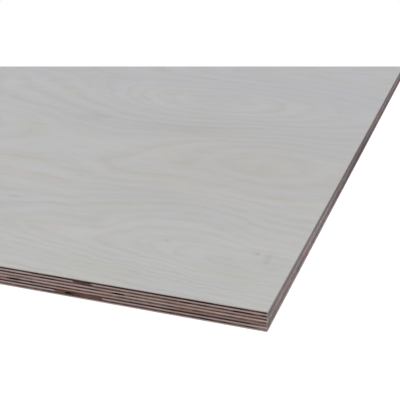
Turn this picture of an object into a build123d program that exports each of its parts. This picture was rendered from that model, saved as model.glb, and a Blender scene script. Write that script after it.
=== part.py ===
from build123d import *
from collections import namedtuple
import os

# A full sheet of birch plywood, lying flat. It is a stack of veneers glued face to face, each
# with its grain turned by a quarter against the next. The origin is at the middle of the
# underside, X runs along the grain of the face, Y across it, and the sanded face looks up.
# Plies are numbered from the face down. The front edge is the one at -Y.

# The sheet as it is sold
sheet_length = 2440.0
sheet_width = 1220.0

# Veneers: the two outer ones are thinner, because sanding takes some of them away
outer_thickness = 1.19
core_thickness = 1.42
core_plies = 11

# Voids in the core that open at the front edge. Each is measured from the right-hand corner
# to its middle, and is as wide at the edge and reaches as deep into the sheet as stated.
Void = namedtuple("Void", "ply from_corner width depth")
core_gap = Void(ply=8, from_corner=218.5, width=8.0, depth=46.0)
split = Void(ply=8, from_corner=200.5, width=3.0, depth=18.0)
knot_hole = Void(ply=11, from_corner=167.5, width=5.0, depth=7.0)
pin_knot_hole = Void(ply=6, from_corner=123.5, width=6.0, depth=5.0)
voids = [core_gap, split, knot_hole, pin_knot_hole]

# Worked out from the sizes above
total_plies = core_plies + 2
sheet_thickness = core_plies * core_thickness + 2 * outer_thickness
right_end = sheet_length / 2
front_edge = -sheet_width / 2


def ply_name(number):
    """Core veneers are named by the way their grain runs, across the sheet or along it."""
    if number == 1:
        return "face_veneer"
    if number == total_plies:
        return "back_veneer"
    grain = "cross" if number % 2 == 0 else "long"
    return f"{grain}_ply_{number:02d}"


def ply_thickness(number):
    return outer_thickness if number in (1, total_plies) else core_thickness


def make_ply(number, top):
    """One flat veneer, with its upper side at the height top and the voids that fall in it.

    A void narrows into the sheet from its full width at the edge, as half an ellipse.
    """
    with BuildPart() as ply:
        with BuildSketch(Plane.XY.offset(top)):
            Rectangle(sheet_length, sheet_width)
            for void in voids:
                if void.ply == number:
                    with Locations((right_end - void.from_corner, front_edge)):
                        Ellipse(void.width / 2, void.depth, mode=Mode.SUBTRACT)
        extrude(amount=-ply_thickness(number))
    ply.part.label = ply_name(number)
    export_step(ply.part, f"parts/{ply.part.label}.step")


os.makedirs("parts", exist_ok=True)

top = sheet_thickness
for number in range(1, total_plies + 1):
    make_ply(number, top)
    top -= ply_thickness(number)
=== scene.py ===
from collections import namedtuple
from math import pi, radians, sin

import bpy
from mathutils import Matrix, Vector


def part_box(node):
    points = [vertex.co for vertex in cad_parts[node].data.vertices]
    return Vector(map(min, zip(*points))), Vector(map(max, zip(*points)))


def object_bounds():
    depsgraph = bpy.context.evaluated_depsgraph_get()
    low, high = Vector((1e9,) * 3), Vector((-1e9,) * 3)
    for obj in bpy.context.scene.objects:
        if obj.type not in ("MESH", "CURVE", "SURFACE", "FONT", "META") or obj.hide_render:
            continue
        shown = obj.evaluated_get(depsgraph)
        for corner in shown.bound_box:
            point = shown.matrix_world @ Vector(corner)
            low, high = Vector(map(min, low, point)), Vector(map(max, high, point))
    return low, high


# A sheet of birch plywood on a pale floor. Places on the sheet are given in millimetres from its
# near right-hand corner: back along the front edge, deep into the sheet from that edge, and down
# from the sanded face. The grain of the face runs along the front edge.
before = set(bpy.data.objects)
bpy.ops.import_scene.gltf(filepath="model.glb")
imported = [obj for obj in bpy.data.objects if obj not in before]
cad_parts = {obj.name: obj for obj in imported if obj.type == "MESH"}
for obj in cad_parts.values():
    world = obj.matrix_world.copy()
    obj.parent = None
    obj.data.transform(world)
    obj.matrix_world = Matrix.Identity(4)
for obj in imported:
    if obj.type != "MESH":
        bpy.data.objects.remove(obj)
cad_low, cad_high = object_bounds()
corner = Vector((cad_high.x, cad_low.y, cad_high.z))
mm = 0.001
sheet_length = (cad_high.x - cad_low.x) / mm
sheet_width = (cad_high.y - cad_low.y) / mm
core_top = (cad_high.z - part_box("face_veneer")[0].z) / mm
core_foot = (cad_high.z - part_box("back_veneer")[1].z) / mm
core_middle = (core_top + core_foot) / 2
core_half = (core_foot - core_top) / 2

# Camera: metres from the corner, degrees, a lens in millimetres, and how far it sees in metres
camera_from_corner = Vector((0.1430, -0.5637, 0.3360))
look_down = 22.946
look_left = 19.25
lens = 79.79
sensor_width = 36.0
view_depth = 1.3378

# Light: levels, and the sun's height, direction and spread in degrees
world_level = 0.62
sun_share = 0.38
sun_height = 58.0
sun_to_right = 42.0
sun_spread = 40.0

# Floor, in metres
floor_size = 60.0
floor_gap = 0.0001
floor_grey = 0.92
floor_glow = 0.35


def srgb(red, green, blue):
    """A colour given as it shows on a screen, from 0 to 255, turned into light."""
    parts = [value / 255 for value in (red, green, blue)]
    return tuple(p / 12.92 if p <= 0.04045 else ((p + 0.055) / 1.055) ** 2.4 for p in parts) + (1.0,)


# Colours of the face
face_colour = srgb(188, 188, 188)
# Cooler and a little darker: for random cool areas, and for painted shade further from the front edge
cool_and_shaded_colour = srgb(184, 184, 187)
warm_colour = srgb(185, 185, 179)
ring_colour = srgb(173, 169, 161)
pin_colour = srgb(92, 80, 72)
amber_colour = srgb(190, 165, 145)
umber_colour = srgb(152, 142, 124)
# Bluish grey for a wide cloud of painted shade
bluish_shade_colour = srgb(171, 173, 178)

# Colours of the sawn edges
face_edge_colour = srgb(184, 178, 174)
back_edge_colour = srgb(166, 157, 153)
long_grain_colour = srgb(160, 142, 137)
tan_colour = srgb(143, 117, 101)
lilac_colour = srgb(150, 136, 138)
# Pale wood for the light marks, and the painted highlight along the corner's arris
pale_and_highlight_colour = srgb(170, 162, 162)
end_grain_colour = srgb(75, 57, 53)
side_long_warm_colour = srgb(158, 142, 141)
side_long_cool_colour = srgb(148, 141, 140)
side_end_warm_colour = srgb(107, 89, 89)
side_end_cool_colour = srgb(100, 91, 91)
brown_colour = srgb(90, 68, 58)
russet_colour = srgb(104, 78, 68)
glue_colour = srgb(46, 34, 31)
# Near black: for dark marks in the wood, and the painted shade on the walls of the voids
dark_and_void_shade_colour = srgb(38, 16, 20)

# Layers of noise: how long their clouds are one way and how wide the other, in millimetres or in
# rings, what they add to the surface's seed, how strong they are and how finely broken up
Layer = namedtuple("Layer", "length width seed strength detail", defaults=[1.0, 2.0])

# Layers that move the growth rings of an outer veneer
far_ring_layer = Layer(520, 120, 0, 30, 0.0)
uneven_layer = Layer(160, 55, 3)
wave_layer = Layer(70, 40, 5, 8)
ripple_layer = Layer(20, 12, 9, 4.6, 3.0)
wiggle_layer = Layer(8, 5, 13, 1.8)

# Layers that make single ring lines stand out or break off
favour_layer = Layer(4, 260, 20, 1.2)
break_layer = Layer(34, 9, 24, 1.0, 3.0)

# Layers of light and tint on an outer veneer
cloud_layer = Layer(60, 18, 40, 0.035, 3.0)
band_layer = Layer(5, 300, 30, 0.03)
thread_layer = Layer(45, 5, 44, 0.03)
fleck_layer = Layer(4, 1.5, 46, 0.03)
fibre_layer = Layer(14, 0.5, 50, 0.05, 3.0)
warm_area_layer = Layer(150, 42, 60)
warm_band_layer = Layer(5, 110, 61, 0.8)
cool_area_layer = Layer(240, 90, 65)
edge_streak_layer = Layer(22, 0.3, 70, 0.16, 3.0)
edge_stretch_layer = Layer(60, 4, 71, 0.12)

# Layers of the core's sawn edges. The last two are the same for all plies.
streak_layer = Layer(24, 0.25, 0, 0.3, 3.0)
stretch_layer = Layer(48, 4, 1, 0.35, 3.0)
pore_layer = Layer(0.7, 0.9, 2, 0.5, 3.0)
check_layer = Layer(7, 1.6, 3, 1.2)
patch_layer = Layer(32, 3, 4)
piece_layer = Layer(13, 4, 5, 0.25)
drift_layer = Layer(120, 8, 6, 0.6)
saw_layer = Layer(5, 30, 91, 0.42)
side_tint_layer = Layer(26, 30, 93)

# Seeds of the face and the back, and from one ply of the core to the next
face_seed = 11.0
back_seed = 57.0
seed_step = 3.7

# Ring lines: where in its ring a line is darkest and where it has faded, and how strong the lines
# are. Every second ring has a main line, and every ring has a fine line.
line_peak = 0.16
line_end = 0.58
rings_to_a_main_line = 2.0
fine_line_shift = 0.3
main_line_strength = 0.47
main_line_spread = 0.8
fine_line_strength = 0.3
fine_line_spread = 0.6

# Beyond the hills near the corner, the figure of the rest of the face sets in between these places
corner_figure_back = 400, 950
corner_figure_deep = 550, 1000

# Tints of the face: the noise at which each is full, how strong the warm one is, and over how many
# millimetres from the front edge the face turns cool and a little darker, which is painted shade
warm_full = 0.6
warm_strength = 0.7
cool_full = 0.9
shade_falloff_distance = 700

# Hills and hollows of the growth rings near the corner, each one rising or falling by so many
# rings over an oval. Where the knife cut through them they show as rows of lines and eyes.
Hill = namedtuple("Hill", "back deep half_length half_width rings")
hills = [
    Hill(110, 88, 170, 75, 13),
    Hill(-60, 62, 150, 36, 11),
    Hill(230, 80, 42, 20, 2),
    Hill(195, 104, 32, 20, -2.2),
    Hill(100, 165, 90, 46, 3.2),
    Hill(250, -14, 300, 50, -6),
    Hill(-5, 20, 85, 42, 2),
    Hill(55, 190, 60, 60, -2),
    Hill(85, 320, 130, 85, -7),
    Hill(75, 292, 30, 22, -1.2),
    Hill(220, 245, 55, 32, -2),
    Hill(42, 112, 24, 40, -0.8),
    Hill(400, 110, 150, 110, 5),
    Hill(500, 335, 150, 80, -5),
    Hill(190, 500, 260, 120, 12),
    Hill(200, 515, 95, 48, 3),
    Hill(520, 620, 220, 90, 8),
]

# Places on the face where the ring lines stand out more than elsewhere, or less
Contrast = namedtuple("Contrast", "back deep half_length half_width more")
contrasts = [
    Contrast(50, 590, 110, 140, -0.35),
    Contrast(190, 430, 100, 80, 0.35),
    Contrast(90, 120, 110, 60, -0.2),
]

# Pin knots, soft knots and streaks on the face, and two wide darker clouds of painted shade
Spot = namedtuple("Spot", "back deep half_length half_width colour strength")
spots = [
    Spot(116, 90, 1.4, 2.4, pin_colour, 0.24),
    Spot(35, 92, 2.6, 4.5, amber_colour, 0.36),
    Spot(33, 90, 1.4, 2.4, pin_colour, 0.2),
    Spot(23, 84, 3.0, 11.0, umber_colour, 0.2),
    Spot(14, 66, 6.0, 8.0, umber_colour, 0.1),
    Spot(294, 135, 9.0, 2.2, umber_colour, 0.35),
    Spot(222, 80, 8.0, 6.0, amber_colour, 0.25),
    Spot(161, 76, 7.0, 5.0, amber_colour, 0.22),
    Spot(85, 286, 9.0, 11.0, amber_colour, 0.25),
    Spot(168, 276, 8.0, 9.0, amber_colour, 0.22),
    Spot(45, 214, 14.0, 5.0, amber_colour, 0.22),
    Spot(304, 491, 10.0, 12.0, amber_colour, 0.2),
    Spot(318, 355, 10.0, 9.0, amber_colour, 0.16),
    Spot(210, 388, 52.0, 17.0, umber_colour, 0.15),
    Spot(176, 376, 26.0, 6.0, amber_colour, 0.18),
    Spot(329, 398, 22.0, 16.0, umber_colour, 0.15),
    Spot(345, 244, 32.0, 5.0, amber_colour, 0.18),
    # Two wide darker clouds over the middle and the back of the face: painted shade
    Spot(110, 290, 170.0, 140.0, ring_colour, 0.23),
    Spot(50, 560, 220.0, 150.0, bluish_shade_colour, 0.2),
    Spot(302, 193, 45.0, 5.0, amber_colour, 0.18),
]

# Marks on the front edge: the ply, the stretch that it covers, its colour and how strong it is.
Mark = namedtuple("Mark", "ply start end colour strength")
dark, light = dark_and_void_shade_colour, pale_and_highlight_colour
marks = [
    Mark(2, 0, 16, brown_colour, 0.5),
    Mark(2, 45, 65, dark, 0.5),
    Mark(2, 147, 161, brown_colour, 0.2),
    Mark(2, 190, 260, light, 0.07),
    Mark(3, 66, 96, light, 0.25),
    Mark(3, 147, 162, brown_colour, 1.0),
    Mark(3, 147, 153, dark, 0.3),
    Mark(3, 153, 157, dark, 0.15),
    Mark(4, 0, 4, dark, 0.8),
    Mark(4, 12, 25, dark, 0.8),
    Mark(4, 49, 54, dark, 0.7),
    Mark(4, 62, 70, dark, 0.8),
    Mark(4, 72, 92, light, 0.07),
    Mark(4, 144, 172, light, 0.07),
    Mark(4, 180, 193, dark, 0.6),
    Mark(4, 204, 230, dark, 0.4),
    Mark(5, 62, 84, light, 0.17),
    # Painted shade at the void in ply 6
    Mark(6, 119, 127, dark, 1.0),
    Mark(6, 178, 260, light, 0.12),
    # Painted shadow beside the void in ply 8, here and on ply 9 from 214 to 222
    Mark(7, 213, 222, dark, 0.25),
    Mark(8, 66, 110, light, 0.1),
    Mark(8, 121, 158, dark, 0.22),
    # The next three marks: painted shade at ply 8's two voids, and a dark line between them
    Mark(8, 198, 206, dark, 0.6),
    Mark(8, 206, 213, dark, 0.35),
    Mark(8, 213, 223, dark, 1.0),
    Mark(9, 0, 75, brown_colour, 0.3),
    Mark(9, 204, 260, light, 0.15),
    Mark(9, 214, 222, dark, 0.2),
    Mark(10, 0, 12, light, 0.15),
    Mark(10, 30, 112, dark, 0.5),
    Mark(10, 183, 215, dark, 0.5),
    Mark(10, 136, 176, russet_colour, 0.45),
    Mark(11, 138, 178.8, russet_colour, 1.0),
    Mark(11, 138, 144, dark, 0.3),
    Mark(11, 152, 163, dark, 0.25),
    Mark(11, 163, 171, dark, 0.6),
    Mark(12, 0, 7, light, 0.15),
    Mark(12, 0, 34, light, 0.15),
    Mark(12, 140, 176, brown_colour, 0.4),
    Mark(12, 180, 260, light, 0.07),
]
mark_fray = 4
mark_fade = 2.0

# How light each ply of the core shows on the front and rear edges, and on the two sides
Tone = namedtuple("Tone", "front side")
tones = {
    2: Tone(0.46, 0.87),
    3: Tone(1.04, 0.85),
    4: Tone(1.05, 0.86),
    5: Tone(1.04, 1.22),
    6: Tone(1.75, 1.29),
    7: Tone(1.1, 1.48),
    8: Tone(1.85, 1.06),
    9: Tone(0.9, 0.76),
    10: Tone(0.74, 0.7),
    11: Tone(1.08, 1.14),
    12: Tone(1.52, 1.37),
}
outer_side_tone = 0.78

# The core's sides are darker further back, with one darker stretch, all of it fading in down
# their plies. Close to the front edge they are a little darker as well.
dark_stretch_middle = 395.0
dark_stretch_reach = 70.0
dark_stretch_strength = 0.25
far_start = 210.0
far_end = 280.0
far_strength = 0.3
fade_in_depth = 9.0
near_end = 35.0
near_strength = 0.14

# Sawn edges of the core: how far saw marks and pores lean, the noise at which the tints of the long
# grain start and are full, how wildly the end grain varies on the front and on the sides, and the
# least light that it keeps
saw_slant = 0.6
pore_slant = 0.4
tan_patches = 0.0, 0.5
lilac_patches = -0.05, -0.5
side_tint_spread = 0.25
front_wildness = 2.8
side_wildness = 1.2
least_light = 0.2

# The painted highlight along the corner's arris, the glue lines and the walls of the voids: millimetres,
# and strengths up to 1
highlight_start = 0.2
highlight_end = 1.1
highlight_strength = 0.5
glue_width = 0.18
glue_fray = 0.12
glue_strength = 0.65
outer_glue_width = 0.3
wall_start = 0.2
wall_end = 1.5

# Finish: the height of the relief in metres, roughness and gloss
face_relief = 0.0004
core_relief = 0.0002
face_roughness = 0.7
core_roughness = 0.85
gloss = 0.1

# How squarely a point has to face a way to count as facing it, from not at all to wholly
facing_start = 0.4
facing_end = 0.6

# The bake's map of each veneer: the margin round each side, the two axes that the side runs along,
# and how much of the map's height it takes. An outer veneer's sanded side takes most of it.
map_margin = 0.005
map_axes = {"top": (0, 1), "underside": (0, 1), "front": (0, 2), "rear": (0, 2),
            "right": (1, 2), "left": (1, 2), "void": (0, 2)}
edge_shares = {"top": 1, "underside": 1, "front": 1, "rear": 1, "right": 1, "left": 1}
core_shares = {"top": 1, "underside": 1, "front": 4, "rear": 4, "right": 3, "left": 3, "void": 1}
outer_share = 44

# When a polygon counts as lying flat, by its normal, and as touching an edge, in metres
lies_flat = 0.5
touching = 0.01 * mm

# The noise over a core veneer, one field for each layer
Texture = namedtuple("Texture", "streaks stretches pieces pores checks patches drifts")


class Field:
    """A value that varies over a surface: the output of a shader node, with ordinary arithmetic."""

    def __init__(self, socket):
        self.socket = socket

    def math(self, operation, *others):
        node = self.socket.id_data.nodes.new("ShaderNodeMath")
        node.operation = operation
        for socket, value in zip(node.inputs, (self, *others)):
            feed(socket, value)
        return Field(node.outputs[0])

    def __add__(self, other):
        return self.math("ADD", other)

    def __sub__(self, other):
        return self.math("SUBTRACT", other)

    def __rsub__(self, other):
        return self * -1 + other

    def __mul__(self, other):
        return self.math("MULTIPLY", other)

    def __truediv__(self, other):
        return self.math("DIVIDE", other)

    def __abs__(self):
        return self.math("ABSOLUTE")

    __radd__ = __add__
    __rmul__ = __mul__


def feed(socket, value):
    """Sets a node's input, or links it where the value is a field."""
    if isinstance(value, Field):
        socket.id_data.links.new(value.socket, socket)
    else:
        socket.default_value = value


def ramp(field, low, high):
    """Rises smoothly from 0 at low to 1 at high. With low above high it falls."""
    node = field.socket.id_data.nodes.new("ShaderNodeMapRange")
    node.interpolation_type = "SMOOTHSTEP"
    feed(node.inputs["Value"], field)
    feed(node.inputs["From Min"], min(low, high))
    feed(node.inputs["From Max"], max(low, high))
    feed(node.inputs["To Min"], 0.0 if low < high else 1.0)
    feed(node.inputs["To Max"], 1.0 if low < high else 0.0)
    return Field(node.outputs["Result"])


def between(field, low, high, soft):
    """1 from low to high, and smoothly down to 0 beyond them."""
    return ramp(field, low - soft, low) * ramp(field, high + soft, high)


def bell(distance):
    """1 where the distance is 0, and falling away smoothly on both sides."""
    return (distance * distance * -1).math("EXPONENT")


def oval(place, back, deep, half_length, half_width):
    """1 in the middle of an oval on the face, falling away like a bell. A place is (back, deep)."""
    along = (place[0] - back) / half_length
    across = (place[1] - deep) / half_width
    return ((along * along + across * across) * -1).math("EXPONENT")


def choose(factor, first, second):
    """The first number where the factor is 0, and the second where it is 1."""
    return first + (second - first) * factor


def mix(factor, first, second):
    """The first colour where the factor is 0, and the second where it is 1."""
    node = factor.socket.id_data.nodes.new("ShaderNodeMix")
    node.data_type = "RGBA"
    for name, value in (("Factor_Float", factor), ("A_Color", first), ("B_Color", second)):
        feed(next(s for s in node.inputs if s.identifier == name), value)
    return Field(next(s for s in node.outputs if s.identifier == "Result_Color"))


def shade(colour, amount):
    """A colour made lighter or darker by an amount that varies about 1."""
    node = amount.socket.id_data.nodes.new("ShaderNodeVectorMath")
    node.operation = "SCALE"
    feed(node.inputs[0], colour if isinstance(colour, Field) else colour[:3])
    feed(node.inputs["Scale"], amount)
    return Field(node.outputs[0])


class Surface:
    """A material being made. It knows where each point lies on the sheet and which way it faces."""

    def __init__(self, name):
        self.material = bpy.data.materials.new(name)
        self.material.use_nodes = True
        self.nodes = self.material.node_tree.nodes
        self.nodes.clear()
        place = self.nodes.new("ShaderNodeTexCoord")
        x, y, z = self.split(place.outputs["Object"])
        self.back = (corner.x - x) / mm
        self.deep = (y - corner.y) / mm
        self.down = (corner.z - z) / mm
        facing_x, facing_y, facing_z = self.split(place.outputs["Normal"])
        self.on_side = ramp(abs(facing_x), facing_start, facing_end)
        self.on_front = ramp(facing_y, -facing_start, -facing_end)
        self.on_flat = ramp(abs(facing_z), facing_start, facing_end)

    def split(self, vector):
        node = self.nodes.new("ShaderNodeSeparateXYZ")
        feed(node.inputs[0], Field(vector))
        return [Field(output) for output in node.outputs]

    def noise(self, layer, first, second, seed):
        """One layer of noise over two fields: clouds about zero, mostly within half its strength."""
        join = self.nodes.new("ShaderNodeCombineXYZ")
        feed(join.inputs[0], first / layer.length)
        feed(join.inputs[1], second / layer.width)
        feed(join.inputs[2], seed + layer.seed)
        texture = self.nodes.new("ShaderNodeTexNoise")
        feed(texture.inputs["Vector"], Field(join.outputs[0]))
        feed(texture.inputs["Scale"], 1.0)
        feed(texture.inputs["Detail"], layer.detail)
        return (Field(texture.outputs["Fac"]) * 2 - 1) * layer.strength

    def finish(self, colour, height, relief, roughness):
        """Joins the colour and the fine relief to a matt wood shader."""
        bump = self.nodes.new("ShaderNodeBump")
        feed(bump.inputs["Height"], height)
        feed(bump.inputs["Distance"], relief)
        feed(bump.inputs["Strength"], 1.0)
        shader = self.nodes.new("ShaderNodeBsdfPrincipled")
        feed(shader.inputs["Base Color"], colour)
        feed(shader.inputs["Roughness"], roughness)
        feed(shader.inputs["Specular IOR Level"], gloss)
        feed(shader.inputs["Normal"], Field(bump.outputs[0]))
        output = self.nodes.new("ShaderNodeOutputMaterial")
        feed(output.inputs["Surface"], Field(shader.outputs[0]))
        return self.material


def growth(surface, seed, near_corner):
    """The growth ring that each point of an outer veneer lies in, as a number that rises and falls."""
    back, deep = surface.back, surface.deep
    waves = surface.noise(wave_layer, back, deep, seed)
    ripples = surface.noise(ripple_layer, back, deep, seed)
    wiggles = surface.noise(wiggle_layer, back, deep, seed)
    moved = deep + waves + ripples + wiggles
    rings = surface.noise(far_ring_layer, back, moved, seed)
    if near_corner:
        back_start, back_end = corner_figure_back
        deep_start, deep_end = corner_figure_deep
        rings = rings * (1 - ramp(back, back_end, back_start) * ramp(deep, deep_end, deep_start))
        rings = sum((oval((back, moved), *hill[:4]) * hill.rings for hill in hills), rings)
    return rings + surface.noise(uneven_layer, back, deep, seed)


def soft_lines(rings):
    """A line for each ring, sharper on one side than on the other."""
    ring = rings.math("FRACT")
    return ramp(ring, 0.0, line_peak) * ramp(ring, line_end, line_peak)


def ring_lines(surface, rings, seed, near_corner):
    """How strongly the ring lines show. Where one kind of line is favoured, the other fades."""
    back, deep = surface.back, surface.deep
    favour = surface.noise(favour_layer, rings, back, seed)
    breaks = surface.noise(break_layer, back, deep, seed)
    main_lines = soft_lines(rings / rings_to_a_main_line)
    main_lines = main_lines * ramp(favour + breaks, -main_line_spread, main_line_spread)
    fine_lines = soft_lines(rings + fine_line_shift)
    fine_lines = fine_lines * ramp(breaks - favour, -fine_line_spread, fine_line_spread)
    lines = main_lines * main_line_strength + fine_lines * fine_line_strength
    if near_corner:
        lines = lines * sum((oval((back, deep), *area[:4]) * area.more for area in contrasts), 1)
    return lines


def sanded_face(surface, fibres, seed, near_corner):
    """The colour of a sanded face: pale wood with warm and cool areas, painted shade, ring lines and soft
    knots.
    """
    back, deep = surface.back, surface.deep
    rings = growth(surface, seed, near_corner)
    cool_areas = surface.noise(cool_area_layer, back, deep, seed)
    warm_areas = surface.noise(warm_area_layer, back, deep, seed)
    warm_bands = surface.noise(warm_band_layer, rings, back, seed)
    # Painted shade: besides its random cool areas, the face turns cooler and a little darker with
    # distance from the front edge
    coolness_and_shade = ramp(cool_areas + deep / shade_falloff_distance, 0.0, cool_full)
    warmth = ramp(warm_areas + warm_bands, 0.0, warm_full) * warm_strength
    colour = mix(coolness_and_shade, face_colour, cool_and_shaded_colour)
    colour = mix(warmth, colour, warm_colour)
    colour = mix(ring_lines(surface, rings, seed, near_corner), colour, ring_colour)
    if near_corner:
        for spot in spots:
            colour = mix(oval((back, deep), *spot[:4]) * spot.strength, colour, spot.colour)
    clouds = surface.noise(cloud_layer, back, deep, seed)
    bands = surface.noise(band_layer, rings, back, seed)
    threads = surface.noise(thread_layer, back, deep, seed)
    flecks = surface.noise(fleck_layer, back, deep, seed)
    return shade(colour, clouds + bands + threads + flecks + fibres + 1)


def outer_edge(surface, edge_colour, seed):
    """The colour of an outer veneer's sawn edges, with a line of glue where it meets the core."""
    down = surface.down
    run = choose(surface.on_side, surface.back, surface.deep)
    streaks = surface.noise(edge_streak_layer, run, down, seed)
    stretches = surface.noise(edge_stretch_layer, run, down, seed)
    tone = choose(surface.on_side, 1.0, outer_side_tone)
    edge = shade(edge_colour, (streaks + stretches + 1) * tone)
    glue = ramp(abs(down - core_middle), core_half + outer_glue_width, core_half)
    return mix(glue, edge, glue_colour)


def outer_veneer(name, seed, edge_colour, near_corner):
    """Sanded birch: a quiet figure of thin ring lines, fine fibres and a few soft knots."""
    surface = Surface(name)
    fibres = surface.noise(fibre_layer, surface.back, surface.deep, seed)
    face = sanded_face(surface, fibres, seed, near_corner)
    edge = outer_edge(surface, edge_colour, seed)
    return surface.finish(mix(surface.on_flat, edge, face), fibres, face_relief, face_roughness)


def side_light(surface):
    """How light the core's sides are, along their length and down their plies, with saw marks."""
    deep, down = surface.deep, surface.down
    dip = bell((deep - dark_stretch_middle) / dark_stretch_reach) * dark_stretch_strength
    far = ramp(deep, far_start, far_end) * far_strength
    near = ramp(deep, near_end, 0.0) * near_strength
    saw_marks = surface.noise(saw_layer, deep + down * saw_slant, down, 0.0)
    return (1 - (dip + far) * ramp(down, 0.0, fade_in_depth) - near) * (saw_marks + 1)


def side_warmth(surface):
    """How warm the core's sides are, in stretches that slant with the saw marks."""
    tints = surface.noise(side_tint_layer, surface.deep + surface.down * saw_slant, surface.down, 0.0)
    return ramp(tints, -side_tint_spread, side_tint_spread)


def inside(surface):
    """1 within the sheet's outline, as on the walls of a void, and 0 on the outline itself."""
    from_left, from_rear = sheet_length - surface.back, sheet_width - surface.deep
    depths = surface.back, from_left, surface.deep, from_rear
    right, left, front, rear = (ramp(depth, wall_start, wall_end) for depth in depths)
    return right * left * front * rear


def core_texture(surface, along_sheet, seed):
    """The noise over a core veneer: along its sawn edges, and along the grain on its flat sides."""
    back, deep, down = surface.back, surface.deep, surface.down
    grain, across = (back, deep) if along_sheet else (deep, back)
    run = choose(surface.on_flat, choose(surface.on_side, back, deep), grain)
    depth = choose(surface.on_flat, down, across)
    return Texture(streaks=surface.noise(streak_layer, run, depth, seed),
                   stretches=surface.noise(stretch_layer, run, depth, seed),
                   pieces=surface.noise(piece_layer, run, depth, seed),
                   pores=surface.noise(pore_layer, run + depth * pore_slant, depth, seed),
                   checks=surface.noise(check_layer, run, depth, seed),
                   patches=surface.noise(patch_layer, run, depth, seed),
                   drifts=surface.noise(drift_layer, run, depth, seed))


def long_grain(surface, texture, warmth, tone):
    """The colour of edges sawn along the grain: streaked, with tan and lilac patches on the front."""
    front = mix(ramp(texture.patches, *tan_patches), long_grain_colour, tan_colour)
    front = mix(ramp(texture.patches, *lilac_patches), front, lilac_colour)
    side = mix(warmth, side_long_cool_colour, side_long_warm_colour)
    amount = texture.streaks + texture.stretches + texture.pieces + 1
    return shade(mix(surface.on_side, front, side), amount * tone)


def end_grain(surface, texture, warmth, tone):
    """The colour of edges sawn across the grain: dark and rough, with pores, checks and drifts."""
    side = mix(warmth, side_end_cool_colour, side_end_warm_colour)
    wildness = choose(surface.on_side, front_wildness, side_wildness)
    clouds = (texture.stretches + texture.pieces) * wildness
    rough = texture.pores + texture.checks + texture.drifts + clouds + 1
    amount = rough.math("MAXIMUM", least_light)
    return shade(mix(surface.on_side, end_grain_colour, side), amount * tone)


def marked(colour, surface, texture, number):
    """The colour with a ply's marks on the front edge over it, and a painted highlight along the corner.
    """
    rough = texture.streaks + texture.pores + texture.checks + texture.pieces + 1
    amount = rough.math("MAXIMUM", least_light)
    frayed = surface.back + texture.checks * mark_fray
    for mark in marks:
        if mark.ply == number:
            stretch = between(frayed, mark.start, mark.end, mark_fade) * surface.on_front
            colour = mix(stretch * mark.strength, colour, shade(mark.colour, amount))
    # A thin painted highlight down the corner's arris, where the front edge meets the side
    painted_highlight = ramp(surface.back, highlight_end, highlight_start) * surface.on_front
    return mix(painted_highlight * highlight_strength, colour, pale_and_highlight_colour)


def glued(colour, surface, texture, top, thickness):
    """The colour with a dark line of glue where the ply meets its neighbours, above and below."""
    from_middle = abs(surface.down - (top + thickness / 2)) + texture.checks * glue_fray
    glue = ramp(from_middle, thickness / 2 - glue_width, thickness / 2)
    return mix(glue * glue_strength, colour, glue_colour)


def core_veneer(name, number, top, thickness):
    """A veneer of the core: long grain on two of its sawn edges and end grain on the other two."""
    surface = Surface(name)
    along_sheet = number % 2 == 1
    end_side = surface.on_side if along_sheet else 1 - surface.on_side
    texture = core_texture(surface, along_sheet, number * seed_step)
    warmth = side_warmth(surface)
    tone = choose(surface.on_side, tones[number].front, side_light(surface) * tones[number].side)
    long_edges = long_grain(surface, texture, warmth, tone)
    end_edges = end_grain(surface, texture, warmth, tone)
    colour = marked(mix(end_side, long_edges, end_edges), surface, texture, number)
    colour = glued(colour, surface, texture, top, thickness)
    # The walls of the voids and the hidden flat sides are painted near black: painted shade in the
    # recesses
    painted_void_shade = (surface.on_flat + inside(surface)).math("MINIMUM", 1.0)
    colour = mix(painted_void_shade, colour, shade(dark_and_void_shade_colour, texture.streaks + texture.stretches + 1))
    height = choose(end_side, texture.streaks, texture.pores)
    return surface.finish(colour, height, core_relief, core_roughness)


def side_of(polygon, low, high):
    """Which side of a veneer a polygon is on: the top, the underside, an edge or a void's wall."""
    centre = polygon.center
    if abs(polygon.normal.z) > lies_flat:
        return "top" if polygon.normal.z > 0 else "underside"
    if abs(centre.y - low.y) < touching:
        return "front"
    if abs(centre.y - high.y) < touching:
        return "rear"
    if abs(centre.x - high.x) < touching:
        return "right"
    return "left" if abs(centre.x - low.x) < touching else "void"


def lay_out(piece, shares):
    """Maps the piece's surface: its sides one above the other, each as tall as its share says."""
    mesh = piece.data
    low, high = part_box(piece.name)
    layer = mesh.uv_layers.new(name="OFBake")
    sides = {side: [] for side in shares}
    for polygon in mesh.polygons:
        sides[side_of(polygon, low, high)].append(polygon)
    shelf = map_margin
    unit = (1 - map_margin * (len(shares) + 1)) / sum(shares.values())
    for side, polygons in sides.items():
        run, rise = map_axes[side]
        corners = [(layer.data[loop], mesh.vertices[mesh.loops[loop].vertex_index].co)
                   for polygon in polygons for loop in polygon.loop_indices]
        runs = [point[run] for _, point in corners]
        rises = [point[rise] for _, point in corners]
        for spot, point in corners:
            across = (point[run] - min(runs)) / (max(runs) - min(runs))
            up = (point[rise] - min(rises)) / (max(rises) - min(rises))
            spot.uv = map_margin + across * (1 - 2 * map_margin), shelf + up * unit * shares[side]
        shelf += unit * shares[side] + map_margin


def background_rays(nodes):
    """1 for the rays that should see a white background: the camera's, and those in gloss and glass."""
    path = nodes.new("ShaderNodeLightPath")
    rays = [Field(path.outputs[f"Is {kind} Ray"]) for kind in ("Camera", "Glossy", "Transmission")]
    return sum(rays).math("MINIMUM", 1.0)


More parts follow.
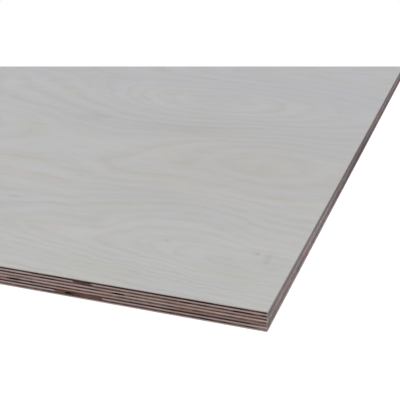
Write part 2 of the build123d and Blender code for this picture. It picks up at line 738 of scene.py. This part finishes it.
def make_world():
    """White to look at, and an even soft light on the sheet."""
    world = bpy.data.worlds.new("studio")
    world.use_nodes = True
    nodes = world.node_tree.nodes
    nodes.clear()
    background = nodes.new("ShaderNodeBackground")
    feed(background.inputs["Strength"], choose(background_rays(nodes), world_level, 1.0))
    feed(background.inputs["Color"], (1.0, 1.0, 1.0, 1.0))
    output = nodes.new("ShaderNodeOutputWorld")
    feed(output.inputs["Surface"], Field(background.outputs[0]))
    bpy.context.scene.world = world


def make_sun():
    """A broad lamp in front and to the right, so that the sheet's soft shadow falls behind it."""
    data = bpy.data.lights.new("lamp", "SUN")
    data.energy = sun_share * pi / sin(radians(sun_height))
    data.angle = radians(sun_spread)
    lamp = bpy.data.objects.new("lamp", data)
    lamp.rotation_euler = radians(90 - sun_height), 0, radians(sun_to_right)
    bpy.context.collection.objects.link(lamp)


def floor_material():
    """Pale grey that takes the shadow, and glows just enough to be white to the camera elsewhere."""
    material = bpy.data.materials.new("floor")
    material.use_nodes = True
    nodes = material.node_tree.nodes
    nodes.clear()
    diffuse = nodes.new("ShaderNodeBsdfDiffuse")
    feed(diffuse.inputs["Color"], (floor_grey, floor_grey, floor_grey, 1.0))
    glow = nodes.new("ShaderNodeEmission")
    feed(glow.inputs["Strength"], background_rays(nodes) * floor_glow)
    both = nodes.new("ShaderNodeAddShader")
    feed(both.inputs[0], Field(diffuse.outputs[0]))
    feed(both.inputs[1], Field(glow.outputs[0]))
    output = nodes.new("ShaderNodeOutputMaterial")
    feed(output.inputs["Surface"], Field(both.outputs[0]))
    return material


def make_floor():
    """A level square under the sheet, just clear of it."""
    half = floor_size / 2
    height = cad_low.z - floor_gap
    corners = [(-half, -half, height), (half, -half, height), (half, half, height), (-half, half, height)]
    mesh = bpy.data.meshes.new("floor")
    mesh.from_pydata(corners, [], [(0, 1, 2, 3)])
    mesh.materials.append(floor_material())
    floor = bpy.data.objects.new("floor", mesh)
    bpy.context.collection.objects.link(floor)


def make_camera():
    """Close to the near right-hand corner, looking down and to the left over the sheet.

    It sees no further than the line on the sheet where the picture ends.
    """
    data = bpy.data.cameras.new("camera")
    data.lens, data.sensor_width = lens, sensor_width
    data.clip_end = view_depth
    camera = bpy.data.objects.new("camera", data)
    camera.location = corner + camera_from_corner
    camera.rotation_euler = radians(90 - look_down), 0, radians(look_left)
    bpy.context.collection.objects.link(camera)
    bpy.context.scene.camera = camera


bpy.context.scene.view_settings.view_transform = "Standard"
make_camera()
make_world()
make_sun()
make_floor()

# The veneers, from the face down
names = sorted(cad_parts, key=lambda name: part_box(name)[1].z, reverse=True)
for number, name in enumerate(names, start=1):
    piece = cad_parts[name]
    low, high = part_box(name)
    if name == "face_veneer":
        material = outer_veneer(name, face_seed, face_edge_colour, near_corner=True)
        shares = {**edge_shares, "top": outer_share}
    elif name == "back_veneer":
        material = outer_veneer(name, back_seed, back_edge_colour, near_corner=False)
        shares = {**edge_shares, "underside": outer_share}
    else:
        material = core_veneer(name, number, (corner.z - high.z) / mm, (high.z - low.z) / mm)
        shares = core_shares
    for slot in piece.material_slots:
        slot.material = material
    lay_out(piece, shares)
